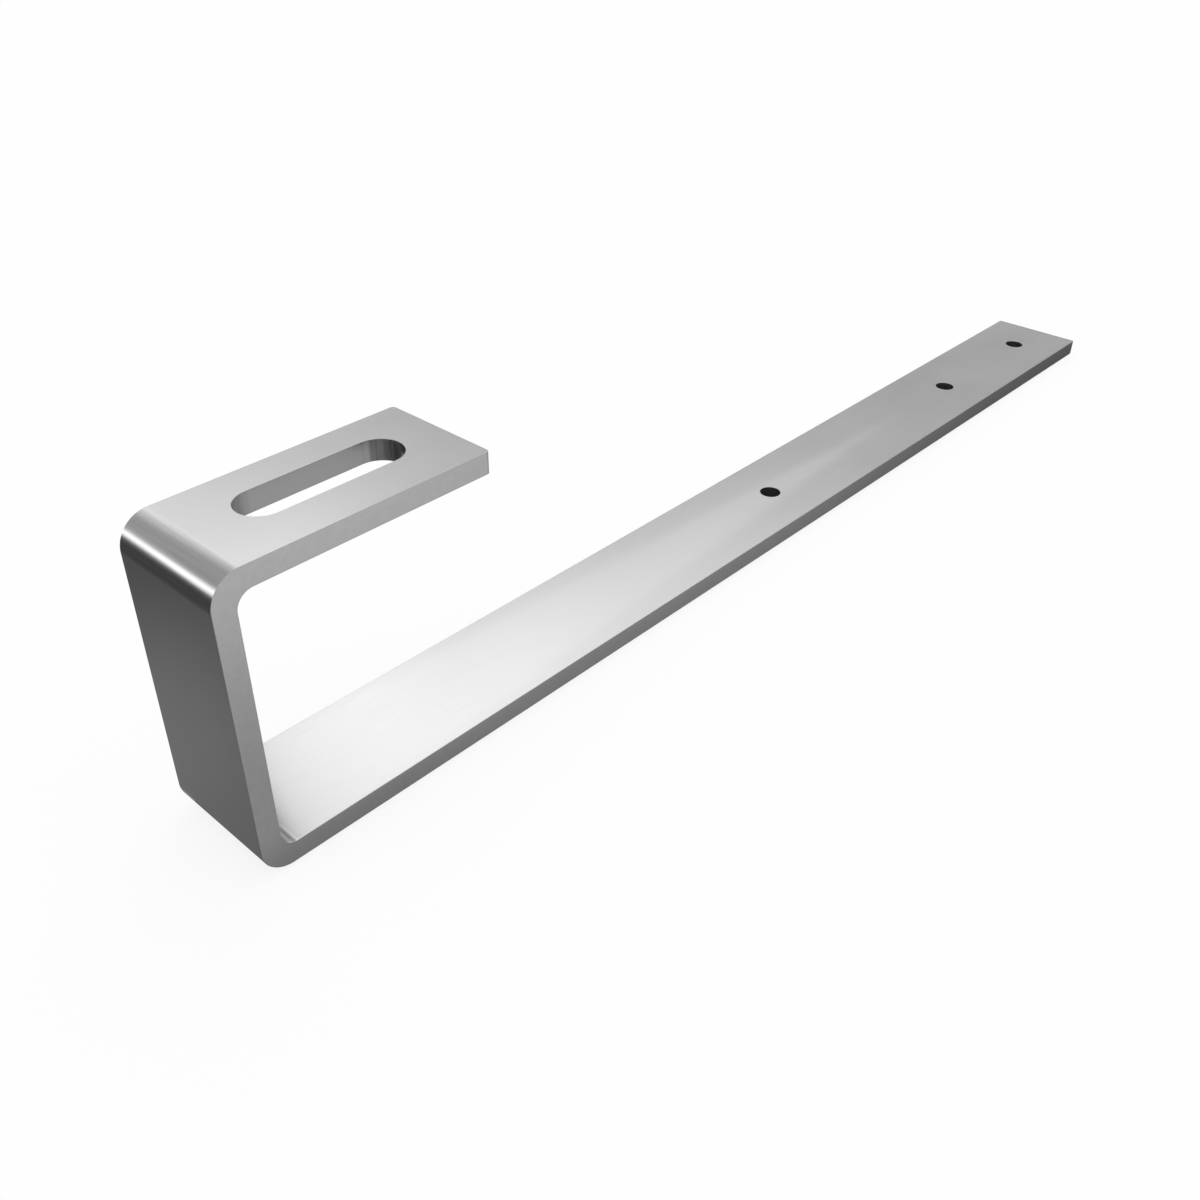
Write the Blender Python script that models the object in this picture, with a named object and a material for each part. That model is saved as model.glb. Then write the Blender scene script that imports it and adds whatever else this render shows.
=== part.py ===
"""Solar roof hook: one flat bar, bent twice, with a rail slot in its top plate and screw holes in its arm.

Metres, +Z up. The hook lies as it does on a rafter: the arm's underside is at Z = 0, the leg stands at the
low-X end, and the top plate runs back over the arm. The origin is under the middle of the bounding box.
"""

import math

import bmesh
import bpy

# The flat bar
BAR_WIDTH = 0.030
BAR_THICKNESS = 0.005
EDGE_BREAK = 0.0003

# The three straight runs, each measured over the outside of the bends
ARM_LENGTH = 0.366
HOOK_HEIGHT = 0.0715
PLATE_LENGTH = 0.0655

# Both bends are right angles. The outer face is tighter than a true offset of the inner one.
BEND_INNER_RADIUS = 0.0038
BEND_OUTER_RADIUS = 0.0070

# The rail slot, placed from the plate's free end
SLOT_LENGTH = 0.0385
SLOT_WIDTH = 0.011
SLOT_END_MARGIN = 0.010
SLOT_OFFSET_TO_BACK = 0.0011

# The screw holes, placed from the arm's free end
HOLE_DIAMETER = 0.006
HOLE_END_MARGIN = 0.0185
HOLE_GAPS = (0.052, 0.104)

# Smoothness of the curves
SEGMENTS_PER_BEND = 16
SEGMENTS_PER_CIRCLE = 32
EDGE_SEGMENTS = 2

# A cutter runs this far past each face that it goes through.
CUTTER_OVERRUN = 0.002

# An edge turned by more than this is broken, and one turned by less belongs to a curve.
SHARP_ANGLE = math.radians(40)

STEEL_COLOUR = (0.60, 0.60, 0.61, 1.0)
STEEL_ROUGHNESS = 0.32

LEG_FACE_X = -ARM_LENGTH / 2
ARM_END_X = ARM_LENGTH / 2
PLATE_END_X = LEG_FACE_X + PLATE_LENGTH
PLATE_UNDERSIDE_Z = HOOK_HEIGHT - BAR_THICKNESS


def clear_scene():
    for obj in list(bpy.data.objects):
        bpy.data.objects.remove(obj, do_unlink=True)


def arc(centre, radius, start_degrees, end_degrees, segments):
    """Points along a circular arc, both ends included."""
    points = []
    for step in range(segments + 1):
        angle = math.radians(start_degrees + (end_degrees - start_degrees) * step / segments)
        points.append((centre[0] + radius * math.cos(angle), centre[1] + radius * math.sin(angle)))
    return points


def bend(corner, radius, up, start_degrees, end_degrees):
    """The rounding of one corner of the side profile, tangent to the leg and to a level run.

    corner is the sharp corner in X and Z, and up is +1 where the arc lies above it, -1 where it lies below.
    """
    centre = (corner[0] + radius, corner[1] + up * radius)
    return arc(centre, radius, start_degrees, end_degrees, SEGMENTS_PER_BEND)


def side_profile():
    """The hook seen from the front, as one closed loop of X and Z: out along the outside, back along the inside."""
    leg_inside_x = LEG_FACE_X + BAR_THICKNESS
    profile = [(ARM_END_X, 0.0)]
    profile += bend((LEG_FACE_X, 0.0), BEND_OUTER_RADIUS, 1, 270, 180)
    profile += bend((LEG_FACE_X, HOOK_HEIGHT), BEND_OUTER_RADIUS, -1, 180, 90)
    profile += [(PLATE_END_X, HOOK_HEIGHT), (PLATE_END_X, PLATE_UNDERSIDE_Z)]
    profile += bend((leg_inside_x, PLATE_UNDERSIDE_Z), BEND_INNER_RADIUS, -1, 90, 180)
    profile += bend((leg_inside_x, BAR_THICKNESS), BEND_INNER_RADIUS, 1, 180, 270)
    profile += [(ARM_END_X, BAR_THICKNESS)]
    return profile


def object_from(name, build_mesh):
    """A new object whose mesh comes from pushing one flat face along a vector, with its faces turned out."""
    mesh = bpy.data.meshes.new(name)
    form = bmesh.new()
    build_mesh(form)
    bmesh.ops.recalc_face_normals(form, faces=form.faces)
    form.to_mesh(mesh)
    form.free()
    obj = bpy.data.objects.new(name, mesh)
    bpy.context.scene.collection.objects.link(obj)
    return obj


def extrude_loop(form, loop, push):
    """Fills a closed loop of points and pushes the face along push to make a solid."""
    face = form.faces.new([form.verts.new(point) for point in loop])
    extruded = bmesh.ops.extrude_face_region(form, geom=[face], use_keep_orig=True)
    moved = [item for item in extruded["geom"] if isinstance(item, bmesh.types.BMVert)]
    bmesh.ops.translate(form, verts=moved, vec=push)


def bent_bar(name):
    """The bar with its two bends, before it is punched."""
    loop = [(x, -BAR_WIDTH / 2, z) for x, z in side_profile()]
    return object_from(name, lambda form: extrude_loop(form, loop, (0.0, BAR_WIDTH, 0.0)))


def upright_cutter(name, outline, bottom_z):
    """A hidden solid that cuts the outline, given in X and Y, down through one thickness of the bar."""
    loop = [(x, y, bottom_z - CUTTER_OVERRUN) for x, y in outline]
    height = BAR_THICKNESS + 2 * CUTTER_OVERRUN
    cutter = object_from(name, lambda form: extrude_loop(form, loop, (0.0, 0.0, height)))
    cutter.hide_render = True
    cutter.display_type = "WIRE"
    return cutter


def rail_slot_cutter():
    radius = SLOT_WIDTH / 2
    right_x = PLATE_END_X - SLOT_END_MARGIN - radius
    left_x = right_x - (SLOT_LENGTH - SLOT_WIDTH)
    half_circle = SEGMENTS_PER_CIRCLE // 2
    outline = arc((right_x, SLOT_OFFSET_TO_BACK), radius, -90, 90, half_circle)
    outline += arc((left_x, SLOT_OFFSET_TO_BACK), radius, 90, 270, half_circle)
    return upright_cutter("rail_slot_cutter", outline, PLATE_UNDERSIDE_Z)


def screw_hole_cutters():
    """One cutter for each screw hole, from the arm's free end towards the leg."""
    cutters = []
    x = ARM_END_X - HOLE_END_MARGIN
    for gap in (*HOLE_GAPS, 0.0):
        circle = arc((x, 0.0), HOLE_DIAMETER / 2, 0, 360, SEGMENTS_PER_CIRCLE)[:-1]
        cutters.append(upright_cutter("screw_hole_cutter", circle, 0.0))
        x -= gap
    return cutters


def cut(obj, cutter):
    boolean = obj.modifiers.new(cutter.name, "BOOLEAN")
    boolean.operation = "DIFFERENCE"
    boolean.solver = "EXACT"
    boolean.object = cutter


def break_edges(obj):
    """Takes the sharpness off every edge, the rims of the slot and holes too."""
    bevel = obj.modifiers.new("edge_break", "BEVEL")
    bevel.width = EDGE_BREAK
    bevel.segments = EDGE_SEGMENTS
    bevel.limit_method = "ANGLE"
    bevel.angle_limit = SHARP_ANGLE


def bare_steel():
    material = bpy.data.materials.new("satin_stainless_steel")
    material.use_nodes = True
    shader = material.node_tree.nodes["Principled BSDF"]
    shader.inputs["Base Color"].default_value = STEEL_COLOUR
    shader.inputs["Metallic"].default_value = 1.0
    shader.inputs["Roughness"].default_value = STEEL_ROUGHNESS
    return material


def hook_strap():
    strap = bent_bar("hook_strap")
    for cutter in [rail_slot_cutter(), *screw_hole_cutters()]:
        cut(strap, cutter)
    break_edges(strap)
    strap.data.shade_smooth()
    strap.data.set_sharp_from_angle(angle=SHARP_ANGLE)
    strap.data.materials.append(bare_steel())
    return strap


clear_scene()
hook_strap()
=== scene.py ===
"""The solar roof hook as photographed: one bent bar of satin steel on a white floor, in soft studio light.

Metres, +Z up, in the CAD frame: the arm's underside is at Z = 0 and the leg stands at the low-X end.
"""

import math

import bmesh
import bpy
from mathutils import Matrix, Vector


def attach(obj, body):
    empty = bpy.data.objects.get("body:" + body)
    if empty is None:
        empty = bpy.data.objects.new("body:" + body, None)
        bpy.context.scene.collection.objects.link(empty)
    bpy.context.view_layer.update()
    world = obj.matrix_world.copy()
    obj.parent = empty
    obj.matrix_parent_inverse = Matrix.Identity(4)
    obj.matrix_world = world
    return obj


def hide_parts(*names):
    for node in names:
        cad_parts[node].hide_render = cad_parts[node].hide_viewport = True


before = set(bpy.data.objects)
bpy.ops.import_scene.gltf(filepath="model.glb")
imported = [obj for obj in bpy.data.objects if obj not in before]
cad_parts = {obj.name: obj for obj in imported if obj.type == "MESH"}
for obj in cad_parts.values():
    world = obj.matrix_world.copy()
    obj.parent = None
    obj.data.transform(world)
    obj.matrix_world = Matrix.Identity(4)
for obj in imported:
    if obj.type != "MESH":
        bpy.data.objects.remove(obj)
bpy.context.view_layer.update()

# The bar and its bends, as in the CAD
BAR_WIDTH = 0.030
BAR_THICKNESS = 0.005
ARM_LENGTH = 0.366
HOOK_HEIGHT = 0.0715
PLATE_LENGTH = 0.0655
BEND_INNER_RADIUS = 0.0038
BEND_OUTER_RADIUS = 0.0070
LEG_FACE_X = -ARM_LENGTH / 2
ARM_END_X = ARM_LENGTH / 2
PLATE_END_X = LEG_FACE_X + PLATE_LENGTH
PLATE_UNDERSIDE_Z = HOOK_HEIGHT - BAR_THICKNESS

# The slot, placed from the plate's free end, as in the CAD
SLOT_LENGTH = 0.0385
SLOT_WIDTH = 0.011
SLOT_END_MARGIN = 0.010
SLOT_OFFSET_TO_BACK = 0.0011
SLOT_CENTRE = (PLATE_END_X - SLOT_END_MARGIN - SLOT_LENGTH / 2, SLOT_OFFSET_TO_BACK)

# The screw holes, placed from the arm's free end, as in the CAD
HOLE_DIAMETER = 0.006
HOLE_END_MARGIN = 0.0185
HOLE_GAPS = (0.052, 0.104)

# How finely the visible piece is made; the four upright corners at the bar's ends are sheared slightly round
PLATE_CORNER_RADIUS = 0.0010
ARM_CORNER_RADIUS = 0.0007
CORNER_SEGMENTS = 8
EDGE_BREAK = 0.00012
EDGE_SEGMENTS = 4
SEGMENTS_PER_BEND = 48
SEGMENTS_PER_HALF_CIRCLE = 48
CUTTER_OVERRUN = 0.002
SHARP_ANGLE = math.radians(40)

# Two places nearer to each other than this are the same
SAME_PLACE = 0.000001

# A face whose normal has more X than this faces towards the arm's end
TOWARDS_END = 0.999

# The piece's three finishes, in the order of its material slots
ROLLED, CUT, EDGE = 0, 1, 2

# The photograph's camera, fitted to the hook's corners: its picture in pixels, its sensor in millimetres
IMAGE_SIZE = 1200
FOCAL_PIXELS = 1205.9
CENTRE_PIXEL = (571.97, 609.27)
CAMERA_PLACE = Vector((-0.26247, -0.17449, 0.18276))
CAMERA_FORWARD = Vector((0.59612, 0.56385, -0.57158))
SENSOR_WIDTH = 36.0
CLIP_START = 0.01


# The hook's shape


def arc(centre, radius, start_degrees, end_degrees, segments):
    """Points along a circular arc, both ends included."""
    points = []
    for step in range(segments + 1):
        angle = math.radians(start_degrees + (end_degrees - start_degrees) * step / segments)
        points.append((centre[0] + radius * math.cos(angle), centre[1] + radius * math.sin(angle)))
    return points


def bend(corner, radius, up, start_degrees, end_degrees):
    """The rounding of one corner of the side profile; up is +1 where the arc lies above it and -1 below."""
    centre = (corner[0] + radius, corner[1] + up * radius)
    return arc(centre, radius, start_degrees, end_degrees, SEGMENTS_PER_BEND)


def side_profile():
    """The hook seen from the front, as one closed loop of X and Z."""
    leg_inside_x = LEG_FACE_X + BAR_THICKNESS
    profile = [(ARM_END_X, 0.0)]
    profile += bend((LEG_FACE_X, 0.0), BEND_OUTER_RADIUS, 1, 270, 180)
    profile += bend((LEG_FACE_X, HOOK_HEIGHT), BEND_OUTER_RADIUS, -1, 180, 90)
    profile += [(PLATE_END_X, HOOK_HEIGHT), (PLATE_END_X, PLATE_UNDERSIDE_Z)]
    profile += bend((leg_inside_x, PLATE_UNDERSIDE_Z), BEND_INNER_RADIUS, -1, 90, 180)
    profile += bend((leg_inside_x, BAR_THICKNESS), BEND_INNER_RADIUS, 1, 180, 270)
    profile += [(ARM_END_X, BAR_THICKNESS)]
    return profile


def extruded(name, loop, push, materials, finish_of_face):
    """A closed loop of points pushed along a vector; finish_of_face gives each face its material slot."""
    mesh = bpy.data.meshes.new(name)
    form = bmesh.new()
    face = form.faces.new([form.verts.new(point) for point in loop])
    pushed = bmesh.ops.extrude_face_region(form, geom=[face], use_keep_orig=True)
    moved = [item for item in pushed["geom"] if isinstance(item, bmesh.types.BMVert)]
    bmesh.ops.translate(form, verts=moved, vec=push)
    bmesh.ops.recalc_face_normals(form, faces=form.faces)
    for face in form.faces:
        face.material_index = finish_of_face(face)
    form.to_mesh(mesh)
    form.free()
    for material in materials:
        mesh.materials.append(material)
    obj = bpy.data.objects.new(name, mesh)
    bpy.context.scene.collection.objects.link(obj)
    return obj


def upright_cutter(name, outline, bottom_z, materials):
    """A solid that cuts the outline, given in X and Y, through one thickness of the bar."""
    loop = [(x, y, bottom_z - CUTTER_OVERRUN) for x, y in outline]
    height = BAR_THICKNESS + 2 * CUTTER_OVERRUN
    return extruded(name, loop, (0.0, 0.0, height), materials, lambda face: CUT)


def slot_and_hole_cutters(materials):
    radius = SLOT_WIDTH / 2
    reach = (SLOT_LENGTH - SLOT_WIDTH) / 2
    x, y = SLOT_CENTRE
    outline = arc((x + reach, y), radius, -90, 90, SEGMENTS_PER_HALF_CIRCLE)
    outline += arc((x - reach, y), radius, 90, 270, SEGMENTS_PER_HALF_CIRCLE)
    cutters = [upright_cutter("slot_cutter", outline, PLATE_UNDERSIDE_Z, materials)]
    x = ARM_END_X - HOLE_END_MARGIN
    for gap in (*HOLE_GAPS, 0.0):
        circle = arc((x, 0.0), HOLE_DIAMETER / 2, 0, 360, 2 * SEGMENTS_PER_HALF_CIRCLE)[:-1]
        cutters.append(upright_cutter("hole_cutter", circle, 0.0, materials))
        x -= gap
    return cutters


def finish_of_bar_face(face):
    """The bar's two ends are cut, and its other faces are rolled."""
    at_an_end = face.normal.x > TOWARDS_END and face.calc_center_median().x > PLATE_END_X - SAME_PLACE
    return CUT if at_an_end else ROLLED


def add_modifier(obj, kind, **settings):
    modifier = obj.modifiers.new(kind.lower(), kind)
    for name, value in settings.items():
        setattr(modifier, name, value)


def round_end_corners(strap):
    """Rounds the upright corners at the bar's two ends, each by its own radius."""
    weights = strap.data.attributes.new("bevel_weight_edge", "FLOAT", "EDGE")
    for edge in strap.data.edges:
        start, end = (strap.data.vertices[index].co for index in edge.vertices)
        upright = abs(start.x - end.x) < SAME_PLACE and abs(start.y - end.y) < SAME_PLACE
        for end_x, radius in ((PLATE_END_X, PLATE_CORNER_RADIUS), (ARM_END_X, ARM_CORNER_RADIUS)):
            if upright and abs(start.x - end_x) < SAME_PLACE:
                weights.data[edge.index].value = radius / PLATE_CORNER_RADIUS
    add_modifier(strap, "BEVEL", width=PLATE_CORNER_RADIUS, segments=CORNER_SEGMENTS, limit_method="WEIGHT")


def along_the_bar(x, z):
    """A point's place in the flat bar: its distance from the arm's end and its depth from the outer face."""
    radius = BEND_OUTER_RADIUS
    bend_x = LEG_FACE_X + radius
    arm_run = ARM_END_X - bend_x
    bend_run = (radius - BAR_THICKNESS / 2) * math.pi / 2
    leg_run = HOOK_HEIGHT - 2 * radius
    if x >= bend_x and z < HOOK_HEIGHT / 2:
        return ARM_END_X - x, z
    if x >= bend_x:
        return arm_run + 2 * bend_run + leg_run + (x - bend_x), HOOK_HEIGHT - z
    if z < radius:
        angle = math.atan2(bend_x - x, radius - z)
        return arm_run + bend_run * angle / (math.pi / 2), radius - math.hypot(bend_x - x, radius - z)
    if z > HOOK_HEIGHT - radius:
        rise = z - (HOOK_HEIGHT - radius)
        angle = math.atan2(rise, bend_x - x)
        start = arm_run + bend_run + leg_run
        return start + bend_run * angle / (math.pi / 2), radius - math.hypot(bend_x - x, rise)
    return arm_run + bend_run + (z - radius), x - LEG_FACE_X


def store_bar_places(mesh):
    """Keeps each point's place along, across and through the flat bar, which the materials read."""
    bar = mesh.attributes.new("bar", "FLOAT_VECTOR", "POINT")
    for vertex in mesh.vertices:
        x, y, z = vertex.co
        along, depth = along_the_bar(x, z)
        bar.data[vertex.index].vector = (along, y, depth)


def visible_strap(materials):
    """The bent bar with its slot, holes and softened edges, as one closed mesh with smooth bends."""
    loop = [(x, -BAR_WIDTH / 2, z) for x, z in side_profile()]
    rough = extruded("rough_strap", loop, (0.0, BAR_WIDTH, 0.0), materials, finish_of_bar_face)
    round_end_corners(rough)
    cutters = slot_and_hole_cutters(materials)
    for cutter in cutters:
        add_modifier(rough, "BOOLEAN", operation="DIFFERENCE", solver="EXACT", object=cutter)
    add_modifier(
        rough, "BEVEL", width=EDGE_BREAK, segments=EDGE_SEGMENTS, limit_method="ANGLE",
        angle_limit=SHARP_ANGLE, material=EDGE,
    )
    rough.data.shade_smooth()
    add_modifier(rough, "WEIGHTED_NORMAL", mode="FACE_AREA", weight=100, keep_sharp=True)
    mesh = bpy.data.meshes.new_from_object(rough.evaluated_get(bpy.context.evaluated_depsgraph_get()))
    for obj in [rough, *cutters]:
        bpy.data.objects.remove(obj, do_unlink=True)
    mesh.name = "bent_strap"
    store_bar_places(mesh)
    strap = bpy.data.objects.new("bent_strap", mesh)
    bpy.context.scene.collection.objects.link(strap)
    return strap


# Shader helpers

WHITE = (1.0, 1.0, 1.0, 1.0)

# The span of a noise that counts, and the noise's middle value
NOISE_SPAN = (0.3, 0.7)
NOISE_MIDDLE = 0.5


class Nodes:
    """Adds nodes to the emptied tree of a material or a world: a socket links, any other value is set."""

    def __init__(self, owner):
        owner.use_nodes = True
        self.tree = owner.node_tree
        self.tree.nodes.clear()

    def add(self, kind, inputs=None, output=0, **settings):
        node = self.tree.nodes.new(kind)
        for name, value in settings.items():
            setattr(node, name, value)
        for key, value in (inputs or {}).items():
            if isinstance(value, bpy.types.NodeSocket):
                self.tree.links.new(value, node.inputs[key])
            else:
                node.inputs[key].default_value = value
        return node.outputs[output]

    def finish(self, kind, surface):
        """Adds the output node and links the surface to it."""
        output = self.tree.nodes.new(kind)
        self.tree.links.new(surface, output.inputs["Surface"])

    def math(self, operation, a, b=0.0):
        return self.add("ShaderNodeMath", {0: a, 1: b}, operation=operation)

    def total(self, first, *others):
        for other in others:
            first = self.math("ADD", first, other)
        return first

    def product(self, first, *others):
        for other in others:
            first = self.math("MULTIPLY", first, other)
        return first

    def split(self, vector):
        """The three parts of a vector."""
        node = self.tree.nodes.new("ShaderNodeSeparateXYZ")
        self.tree.links.new(vector, node.inputs[0])
        return node.outputs

    def map(self, value, from_min, from_max, to_min, to_max, kind="SMOOTHSTEP"):
        """Maps a value from one span to another, eased at both ends unless kind says otherwise."""
        spans = {"From Min": from_min, "From Max": from_max, "To Min": to_min, "To Max": to_max}
        return self.add("ShaderNodeMapRange", {"Value": value, **spans}, interpolation_type=kind)

    def vary(self, pattern, middle, reach):
        """Maps a noise to values that lie up to reach on either side of a middle one."""
        return self.map(pattern, *NOISE_SPAN, middle - reach, middle + reach, "LINEAR")

    def noise(self, vector, scale, detail=2.0, roughness=0.5):
        """Noise with its own scale along each axis."""
        scaled = self.add("ShaderNodeVectorMath", {0: vector, 1: scale}, operation="MULTIPLY")
        inputs = {"Vector": scaled, "Scale": 1.0, "Detail": detail, "Roughness": roughness}
        return self.add("ShaderNodeTexNoise", inputs, noise_dimensions="3D")


# The steel

# Distances along the bar from the arm's end: the middle of the slot and of the two bends
SLOT_ALONG = along_the_bar(SLOT_CENTRE[0], HOOK_HEIGHT)[0]
LOWER_BEND_ALONG = along_the_bar(LEG_FACE_X, 0.0)[0]
UPPER_BEND_ALONG = along_the_bar(LEG_FACE_X, HOOK_HEIGHT)[0]

# Where the broad faces end and where the side faces start, from the bar's middle line
BROAD_FACE_RIM = (0.0146, 0.0149)
SIDE_FACE_RIM = (0.0148, 0.0149)

# Where the outer half of the thickness gives way to the inner half, from the outer face
MIDDLE_DEPTH = (0.0022, 0.0028)

# How fine the patterns are: their scales per metre along, across and through the bar
CLOUD_SCALE = (28.0, 60.0, 60.0)
MOTTLE_SCALE = (900.0, 900.0, 900.0)
PITTING_SCALE = (4200.0, 4200.0, 4200.0)

# How far the patterns move the tone and the roughness, how deep the pits are, and how rough the thin sheen is
CLOUD_TONE = 0.015
CLOUD_ROUGHNESS = 0.015
STREAK_ROUGHNESS = 0.022
SIDE_MOTTLE = 0.16
PITTING_DEPTH = 0.0000002
SHEEN_ROUGHNESS = 0.04

# The slot's wall gets painted shade towards its ends. A span is two distances past the slot's middle and the
# value at each.
# The shade deepens slowly, then in a step where its round end starts, and most of all further round that end.
DARKENING = (0.0040, 0.0135, 0.0, 0.07)
ROUND_END_STEP = (0.0135, 0.0140, 0.0, 0.12)
SLOT_END_SHADE = (0.0150, 0.0160, 0.0, 0.46)

# At its other end it has a faint band of painted shade, which stops where the round end starts
FAINT_BAND = (-0.0175, -0.0155, 0.05, 0.11)
FAINT_BAND_STOPS = (-0.0135, -0.0130, 1.0, 0.0)

# The distance from the slot's middle by which it has ended, and how its painted shade varies with the streaks
BEYOND_SLOT = (0.021, 0.023)
SLOT_SHADE_BY_STREAK = (0.35, 0.6, 1.1, 0.9)

# The painted shade by the insides of the bends, which also dulls the steel there: its height, its limit and
# how fast it fades
SHADE_AND_DULL_HEIGHT = 1.5
SHADE_AND_DULL_LIMIT = 0.5
SHADE_AND_DULL_FADE = 0.0022

# It shifts towards the arm's end, on a slant across the bar that starts this far in front of the middle line
SHADE_AND_DULL_SLANT = 0.25
SHADE_AND_DULL_SLANT_START = 0.019

# It roughens the steel, and where it is at its limit it leaves this share of the thin sheen
DULL_ROUGHNESS = 0.12
DULL_SHEEN = 0.2

# The fine lines across the outsides of the bends, and the tone of the rolled faces that they darken
LINE_SCALE = (1100.0, 18.0, 0.0)
LINE_SPAN = (0.40, 0.60)
LINE_DARKNESS = 0.10
LINE_REACH = (0.0025, 0.0040)
ROLLED_TONE = 1.03


def slot_wall_shade(nodes, bar, streak):
    """Painted shade on the slot's wall, deepest towards its ends, in upright bands and streaks."""
    past_middle = nodes.math("SUBTRACT", nodes.split(bar)[0], SLOT_ALONG)
    dark = nodes.product(nodes.map(past_middle, *FAINT_BAND), nodes.map(past_middle, *FAINT_BAND_STOPS))
    for span in (DARKENING, ROUND_END_STEP, SLOT_END_SHADE):
        dark = nodes.total(dark, nodes.map(past_middle, *span))
    in_slot = nodes.map(nodes.math("ABSOLUTE", past_middle), *BEYOND_SLOT, 1.0, 0.0)
    by_streak = nodes.map(streak, *SLOT_SHADE_BY_STREAK, "LINEAR")
    return nodes.math("SUBTRACT", 1.0, nodes.product(dark, in_slot, by_streak)), None


def from_bends(nodes, along):
    """The distance along the bar from the middle of the nearer bend."""
    to_lower = nodes.math("ABSOLUTE", nodes.math("SUBTRACT", along, LOWER_BEND_ALONG))
    to_upper = nodes.math("ABSOLUTE", nodes.math("SUBTRACT", along, UPPER_BEND_ALONG))
    return nodes.math("MINIMUM", to_lower, to_upper)


def on_broad_face(nodes, across):
    return nodes.map(nodes.math("ABSOLUTE", across), *BROAD_FACE_RIM, 1.0, 0.0)


def bend_inside_shade_and_dull(nodes, along, across, depth):
    """How much painted shade lies in the insides of the bends and, fading on a slant, on the faces next to
    them; it also dulls the steel there.
    """
    slant = nodes.product(nodes.total(across, SHADE_AND_DULL_SLANT_START), SHADE_AND_DULL_SLANT)
    away = nodes.math("DIVIDE", from_bends(nodes, nodes.total(along, slant)), -SHADE_AND_DULL_FADE)
    shade_and_dull = nodes.math("MINIMUM", nodes.product(nodes.math("EXPONENT", away), SHADE_AND_DULL_HEIGHT), SHADE_AND_DULL_LIMIT)
    inside = nodes.map(depth, *MIDDLE_DEPTH, 0.0, 1.0)
    return nodes.product(shade_and_dull, on_broad_face(nodes, across), inside)


def stretched_outsides(nodes, bar, along, across, depth):
    """How dark the fine lines are that cross the outsides of the bends, where the skin stretched."""
    lines = nodes.noise(bar, LINE_SCALE, detail=3.0, roughness=0.6)
    darker = nodes.map(lines, *LINE_SPAN, 0.0, LINE_DARKNESS)
    in_bend = nodes.map(from_bends(nodes, along), *LINE_REACH, 1.0, 0.0)
    outside = nodes.map(depth, *MIDDLE_DEPTH, 1.0, 0.0)
    return nodes.product(darker, in_bend, on_broad_face(nodes, across), outside)


def press_lines_and_bend_shade(nodes, bar, streak):
    """The press leaves fine lines on the outsides of the bends; their insides get painted shade and are
    dulled.
    """
    along, across, depth = nodes.split(bar)
    lines = stretched_outsides(nodes, bar, along, across, depth)
    shade_and_dull = bend_inside_shade_and_dull(nodes, along, across, depth)
    # The fine lines darken the tone, and so does the painted shade in the insides of the bends
    tone = nodes.product(nodes.math("SUBTRACT", ROLLED_TONE, lines), nodes.math("SUBTRACT", 1.0, shade_and_dull))
    return tone, shade_and_dull


def no_marks(nodes, bar, streak):
    """The tools leave nothing on the softened edges."""
    return 1.0, None


def steel(name, colour, roughness, streaks, streak_depth, tone_and_dullness):
    """Satin steel: a wide soft sheen under a thin sharp one, with fine streaks and faint clouding.

    streaks is their number per metre along, across and through the bar. The last argument takes the nodes,
    the place in the bar and the streaks, and gives the tone, which may hold tool lines and painted shade, and
    how much it dulls the steel, or None.
    """
    material = bpy.data.materials.new(name)
    nodes = Nodes(material)
    bar = nodes.add("ShaderNodeAttribute", output="Vector", attribute_name="bar", attribute_type="GEOMETRY")
    streak = nodes.noise(bar, streaks, detail=3.0, roughness=0.6)
    cloud = nodes.noise(bar, CLOUD_SCALE, detail=3.0, roughness=0.55)
    pitting = nodes.noise(bar, PITTING_SCALE, detail=1.0)
    mottle = nodes.noise(bar, MOTTLE_SCALE, roughness=0.7)
    toned, shade_and_dull = tone_and_dullness(nodes, bar, streak)

    off_middle = nodes.math("ABSOLUTE", nodes.split(bar)[1])
    side_depth = nodes.map(off_middle, *SIDE_FACE_RIM, 0.0, SIDE_MOTTLE)
    mottled = nodes.product(side_depth, nodes.math("SUBTRACT", mottle, NOISE_MIDDLE))
    tone = nodes.product(nodes.total(nodes.vary(cloud, 1.0, CLOUD_TONE), mottled), toned)
    rough = nodes.total(
        nodes.vary(streak, 0.0, STREAK_ROUGHNESS), nodes.vary(cloud, roughness, CLOUD_ROUGHNESS),
    )
    sheen = 1.0
    if shade_and_dull is not None:
        rough = nodes.total(rough, nodes.product(shade_and_dull, DULL_ROUGHNESS))
        sheen = nodes.map(shade_and_dull, 0.0, SHADE_AND_DULL_LIMIT, 1.0, DULL_SHEEN, "LINEAR")
    bump = nodes.add("ShaderNodeBump", {"Strength": 1.0, "Distance": streak_depth, "Height": streak})
    pits = {"Strength": 1.0, "Distance": PITTING_DEPTH, "Height": pitting, "Normal": bump}
    shader = nodes.add("ShaderNodeBsdfPrincipled", {
        "Base Color": nodes.add("ShaderNodeVectorMath", {0: colour, "Scale": tone}, operation="SCALE"),
        "Metallic": 1.0,
        "Roughness": rough,
        "Coat Weight": sheen,
        "Coat Roughness": SHEEN_ROUGHNESS,
        "Normal": nodes.add("ShaderNodeBump", pits),
    })
    nodes.finish("ShaderNodeOutputMaterial", shader)
    return material


def rolled_steel():
    """The bar's broad and side faces, with long fine streaks from the rolling."""
    return steel(
        "rolled_steel", colour=(0.60, 0.60, 0.605), roughness=0.21, streaks=(70.0, 2600.0, 2600.0),
        streak_depth=0.0000007, tone_and_dullness=press_lines_and_bend_shade,
    )


def cut_steel():
    """The bar's ends and the walls of the slot and holes, with streaks through the bar from the cutting, and
    painted shade towards the slot's ends.
    """
    return steel(
        "cut_steel", colour=(0.47, 0.47, 0.475), roughness=0.30, streaks=(1600.0, 1600.0, 60.0),
        streak_depth=0.000003, tone_and_dullness=slot_wall_shade,
    )


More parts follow.
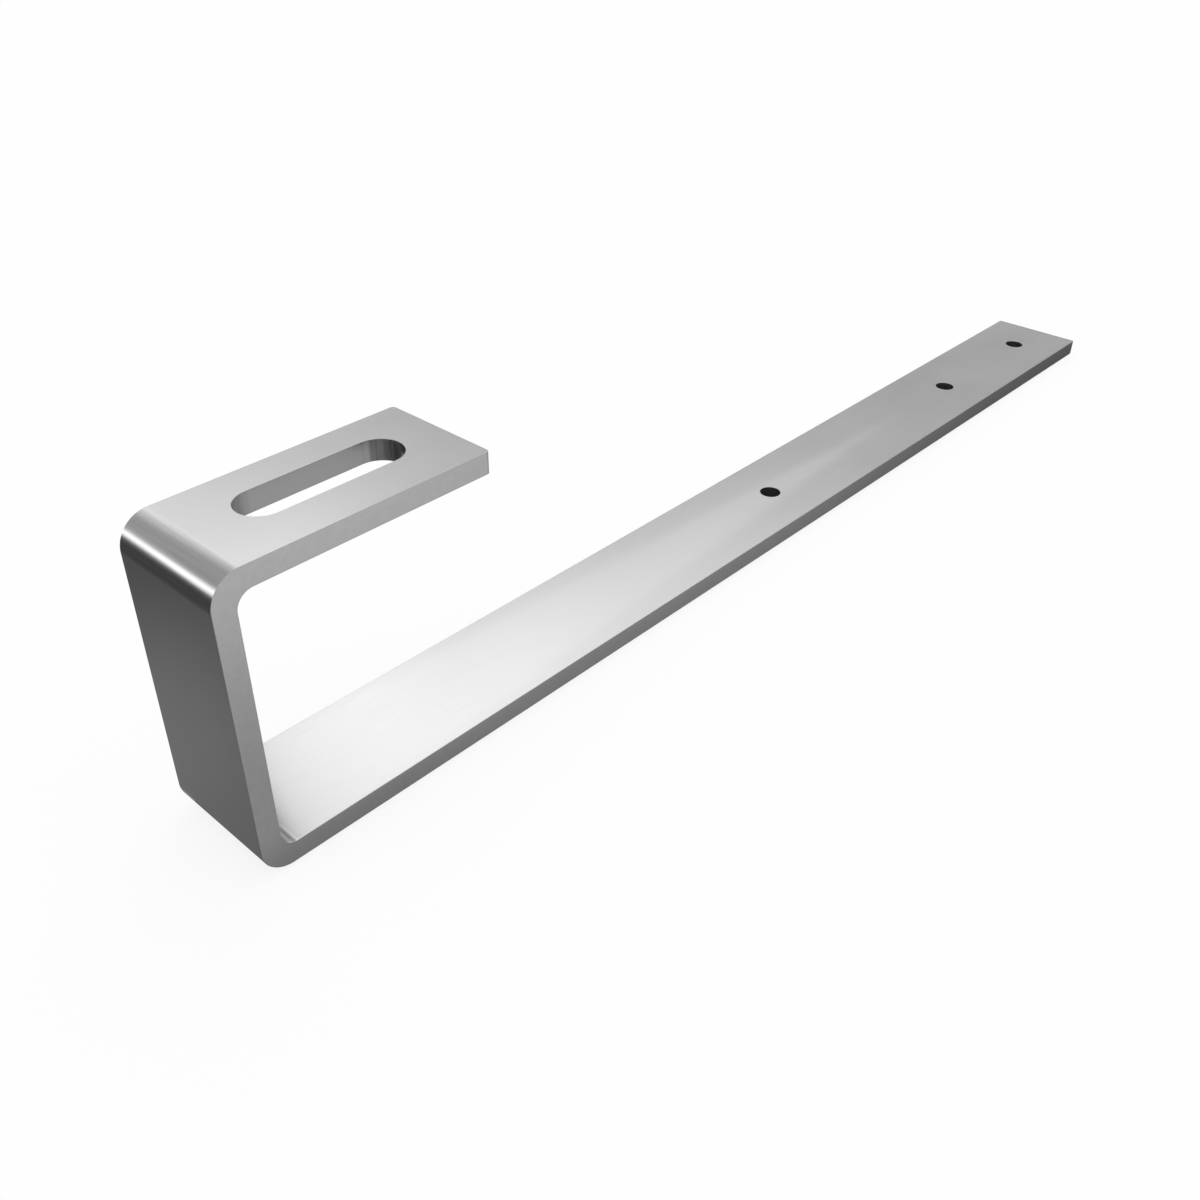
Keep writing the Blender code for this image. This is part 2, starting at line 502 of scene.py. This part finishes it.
def shaded_edge():
    """The softened edges, with painted shade that makes them a little darker than the faces beside them."""
    return steel(
        "shaded_edge", colour=(0.44, 0.44, 0.445), roughness=0.28, streaks=(90.0, 2000.0, 2000.0),
        streak_depth=0.000001, tone_and_dullness=no_marks,
    )


# The studio's lights, with their angles in degrees

# Soft round lights: azimuth, elevation, radius of the full core, radius where it ends, and strength
SOFT_LIGHTS = (
    (59.0, 36.0, 0.5, 16.5, 0.34),
    (60.0, 35.0, 0.5, 8.0, 0.54),
    (80.0, 25.5, 3.0, 17.5, 0.75),
    (23.5, 55.0, 11.5, 30.0, 0.98),
    (200.0, 80.0, 14.0, 28.0, 0.85),
    (-60.0, 52.0, 8.0, 24.0, 0.85),
    (170.0, 45.0, 8.0, 24.0, 0.80),
)

# Going up, the soft lights come in between these elevations, so that they don't add to the white wall
LIGHTS_FADE = (7.0, 22.0)

# The wall of the studio: white from the horizon up to one elevation, and grey from another
WALL_WHITE = 1.0
WALL_GREY = 0.44
WALL_WHITE_TOP = 12.0
WALL_GREY_START = 17.2

# A strip light low at the left, on the great circle round this pole: its middle and its reach along the
# circle, its half widths and its strength
STRIP_POLE = (29.6, 33.0)
STRIP_MIDDLE = (122.0, 14.0)
STRIP_REACH = (12.0, 24.0)
STRIP_CORE = 0.75
STRIP_END = 7.7
STRIP_STRENGTH = 1.12

# A long light that tapers to a point: its mirror image in the arm runs between these two lines, each given by
# the X and Y of its ends in metres
TAPER_LINES = (((-0.093, 0.0110), (0.072, 0.0004)), ((-0.093, -0.0113), (0.072, -0.0004)))
TAPER_INSIDE = (-0.023, 0.0)
TAPER_MIDDLE = (38.0, 32.0)
TAPER_REACH = (14.0, 28.0)
TAPER_SOFTNESS = 0.0030
TAPER_STRENGTH = 0.66


def direction(azimuth, elevation):
    """The unit vector towards an azimuth from +X and an elevation, both in degrees."""
    a = math.radians(azimuth)
    e = math.radians(elevation)
    return Vector((math.cos(a) * math.cos(e), math.sin(a) * math.cos(e), math.sin(e)))


def cosine(degrees):
    return math.cos(math.radians(degrees))


def sine(degrees):
    return math.sin(math.radians(degrees))


def taper_edges():
    """The planes that bound the tapering light, through its lines on the arm and the eye's mirror image."""
    eye = Vector((CAMERA_PLACE.x, CAMERA_PLACE.y, 2 * BAR_THICKNESS - CAMERA_PLACE.z))
    inside = Vector((*TAPER_INSIDE, BAR_THICKNESS)) - eye
    edges = []
    for line in TAPER_LINES:
        start, end = (Vector((*point, BAR_THICKNESS)) - eye for point in line)
        normal = start.cross(end).normalized()
        edges.append(normal if normal.dot(inside) > 0 else -normal)
    return edges


def studio_world():
    world = bpy.data.worlds.new("studio")
    bpy.context.scene.world = world
    nodes = Nodes(world)
    towards = nodes.add("ShaderNodeTexCoord", output="Generated")
    towards = nodes.add("ShaderNodeVectorMath", {0: towards}, operation="NORMALIZE")
    height = nodes.split(towards)[2]

    def along(vector):
        inputs = {0: towards, 1: vector}
        return nodes.add("ShaderNodeVectorMath", inputs, output="Value", operation="DOT_PRODUCT")

    def disc(middle, core, end, strength):
        return nodes.map(along(direction(*middle)), cosine(end), cosine(core), 0.0, strength)

    wall = nodes.map(height, sine(WALL_WHITE_TOP), sine(WALL_GREY_START), WALL_WHITE, WALL_GREY)
    lights = [disc((azimuth, elevation), *rest) for azimuth, elevation, *rest in SOFT_LIGHTS]
    above_wall = nodes.map(height, sine(LIGHTS_FADE[0]), sine(LIGHTS_FADE[1]), 0.0, 1.0)
    soft = nodes.product(nodes.total(*lights), above_wall)

    off_circle = nodes.math("ABSOLUTE", along(direction(*STRIP_POLE)))
    strip = nodes.map(off_circle, sine(STRIP_CORE), sine(STRIP_END), STRIP_STRENGTH, 0.0)
    strip = nodes.product(strip, disc(STRIP_MIDDLE, *STRIP_REACH, 1.0))

    taper = disc(TAPER_MIDDLE, *TAPER_REACH, TAPER_STRENGTH)
    for edge in taper_edges():
        taper = nodes.product(taper, nodes.map(along(edge), -TAPER_SOFTNESS, TAPER_SOFTNESS, 0.0, 1.0))

    light = nodes.total(wall, soft, strip, taper)
    background = nodes.add("ShaderNodeBackground", {"Color": WHITE, "Strength": light})
    nodes.finish("ShaderNodeOutputWorld", background)


# The studio's floor and cards

# The floor lies just under the arm. It glows for the rays that see it, and the rest of it keeps the shadow.
FLOOR_Z = -0.0004
FLOOR_REACH = 3.0
FLOOR_COLOUR = (0.85, 0.85, 0.85, 1.0)
FLOOR_GLOW = 1.06
FLOOR_GLOW_SHARE = 0.8

# The ground card lies just over the floor, from one corner to the opposite one.
CARD_Z = -0.0002
GROUND_LOW = (-0.26, -0.24)
GROUND_HIGH = (0.30, 0.24)

# The cards' light is made of spans, and a span is two places in metres and the value at each. Beside the bar,
# the ground card's light adds up from three spans outwards and is multiplied by the next three.
GROUND_OUTWARDS = ((0.015, 0.026, 0.25, 0.35), (0.03, 0.125, 0.0, 0.25), (0.15, 0.24, 0.0, 0.4))
GROUND_AT_LEG = (-0.17, -0.11, 0.94, 1.0)
GROUND_ALONG_ARM = (-0.09, 0.20, 1.04, 0.44)
GROUND_BEHIND = (0.02, 0.05, 1.0, 1.6)

# Its light under the bar, a painted shade that the walls of the holes reflect, and where that gives way to
# the light beside the bar and beyond the arm's end
GROUND_UNDER_BAR = (-0.178, -0.165, 0.14, 0.02)
GROUND_BESIDE_BAR = (0.0149, 0.0151, 0.0, 1.0)
GROUND_BEYOND_ARM = (ARM_END_X - 0.001, ARM_END_X, 0.0, 1.0)

# The left card rises away from the leg's foot: its gap to the leg, its reach, its rise and its two ends in Y
LEFT_GAP = 0.001
LEFT_REACH = 0.286
LEFT_RISE = 0.123
LEFT_ENDS = (-0.02, 0.50)

# Its light by the leg is the first span multiplied by the next two, which run along Y.
LEFT_BY_LEG = (-0.235, -0.192, 0.078, 0.19)
LEFT_AT_FRONT = (-0.01, 0.03, 0.8, 1.0)
LEFT_AT_BACK = (0.045, 0.09, 1.0, 0.75)

# Two more spans add to it further up. Their X shifts on a slant, by nothing at one Y and more away from it.
LEFT_SLANT = 0.55
LEFT_SLANT_Y = 0.2335
LEFT_GLOW = (-0.345, -0.27, 0.05, 0.0)
LEFT_WHITE = (-0.47, -0.345, 0.88, 0.0)


def stage_sheet(name, corners, material):
    """A flat sheet through four corners, for the studio."""
    mesh = bpy.data.meshes.new(name)
    mesh.from_pydata(corners, [], [(0, 1, 2, 3)])
    mesh.materials.append(material)
    sheet = bpy.data.objects.new(name, mesh)
    bpy.context.scene.collection.objects.link(sheet)
    return sheet


def level(low, high, z):
    """The four corners of a level rectangle."""
    return [(low[0], low[1], z), (high[0], low[1], z), (high[0], high[1], z), (low[0], high[1], z)]


def white_floor():
    material = bpy.data.materials.new("white_floor")
    nodes = Nodes(material)
    path = nodes.tree.nodes.new("ShaderNodeLightPath")
    seen = nodes.math("MAXIMUM", path.outputs["Is Camera Ray"], path.outputs["Is Glossy Ray"])
    seen = nodes.math("MAXIMUM", seen, path.outputs["Is Transmission Ray"])
    matt = nodes.add("ShaderNodeBsdfDiffuse", {"Color": FLOOR_COLOUR})
    glow = nodes.add("ShaderNodeEmission", {"Color": WHITE, "Strength": FLOOR_GLOW})
    share = nodes.product(seen, FLOOR_GLOW_SHARE)
    nodes.finish("ShaderNodeOutputMaterial", nodes.add("ShaderNodeMixShader", {0: share, 1: matt, 2: glow}))
    corners = level((-FLOOR_REACH, -FLOOR_REACH), (FLOOR_REACH, FLOOR_REACH), FLOOR_Z)
    stage_sheet("floor", corners, material)


def card(name, corners, tone):
    """A card that only the steel sees; tone takes the nodes and a place's X and Y and gives its light."""
    material = bpy.data.materials.new(name)
    nodes = Nodes(material)
    x, y, _ = nodes.split(nodes.add("ShaderNodeTexCoord", output="Object"))
    grey = nodes.add("ShaderNodeEmission", {"Color": WHITE, "Strength": tone(nodes, x, y)})
    nodes.finish("ShaderNodeOutputMaterial", grey)
    sheet = stage_sheet(name, corners, material)
    sheet.visible_camera = False
    sheet.visible_diffuse = False
    sheet.visible_transmission = False
    sheet.visible_shadow = False


def ground_tone(nodes, x, y):
    """Nearly black under the arm, a painted shade for the steel to reflect, and grey beside it.

    It is lighter further out, behind the hook and under the leg, and darker towards the arm's far end.
    """
    off_middle = nodes.math("ABSOLUTE", y)
    light = nodes.total(*[nodes.map(off_middle, *span) for span in GROUND_OUTWARDS])
    for value, span in ((x, GROUND_AT_LEG), (x, GROUND_ALONG_ARM), (y, GROUND_BEHIND)):
        light = nodes.product(light, nodes.map(value, *span))
    under_bar = nodes.map(x, *GROUND_UNDER_BAR)
    beside = nodes.map(off_middle, *GROUND_BESIDE_BAR)
    beside = nodes.math("MAXIMUM", beside, nodes.map(x, *GROUND_BEYOND_ARM))
    return nodes.add("ShaderNodeMix", {"Factor": beside, "A": under_bar, "B": light}, data_type="FLOAT")


def left_tone(nodes, x, y):
    """Grey by the leg's foot, nearly black further up, and white above an edge that runs on a slant."""
    by_leg = nodes.map(x, *LEFT_BY_LEG)
    by_leg = nodes.product(by_leg, nodes.map(y, *LEFT_AT_FRONT), nodes.map(y, *LEFT_AT_BACK))
    slant = nodes.product(nodes.math("SUBTRACT", y, LEFT_SLANT_Y), LEFT_SLANT)
    slanted = nodes.math("SUBTRACT", x, slant)
    return nodes.total(by_leg, nodes.map(slanted, *LEFT_GLOW), nodes.map(slanted, *LEFT_WHITE))


def grey_cards():
    """Cards that give the steel's side faces their dark tones, as beside any polished part in a studio."""
    card("ground_card", level(GROUND_LOW, GROUND_HIGH, CARD_Z), ground_tone)
    near_x = LEG_FACE_X - LEFT_GAP
    far_x = near_x - LEFT_REACH
    front, back = LEFT_ENDS
    foot = [(near_x, front, 0.0), (near_x, back, 0.0)]
    top = [(far_x, back, LEFT_RISE), (far_x, front, LEFT_RISE)]
    card("left_card", foot + top, left_tone)


def photo_camera():
    data = bpy.data.cameras.new("photo_camera")
    data.sensor_fit = "HORIZONTAL"
    data.sensor_width = SENSOR_WIDTH
    data.lens = FOCAL_PIXELS * SENSOR_WIDTH / IMAGE_SIZE
    data.shift_x = 0.5 - CENTRE_PIXEL[0] / IMAGE_SIZE
    data.shift_y = CENTRE_PIXEL[1] / IMAGE_SIZE - 0.5
    data.clip_start = CLIP_START
    camera = bpy.data.objects.new("photo_camera", data)
    bpy.context.scene.collection.objects.link(camera)
    back = -CAMERA_FORWARD.normalized()
    right = Vector((0.0, 0.0, 1.0)).cross(back).normalized()
    turn = Matrix((right, back.cross(right), back)).transposed().to_4x4()
    camera.matrix_world = Matrix.Translation(CAMERA_PLACE) @ turn
    bpy.context.scene.camera = camera


photo_camera()
strap = visible_strap([rolled_steel(), cut_steel(), shaded_edge()])
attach(strap, "root")
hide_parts("hook_strap")
white_floor()
grey_cards()
studio_world()
bpy.context.scene.view_settings.view_transform = "Standard"
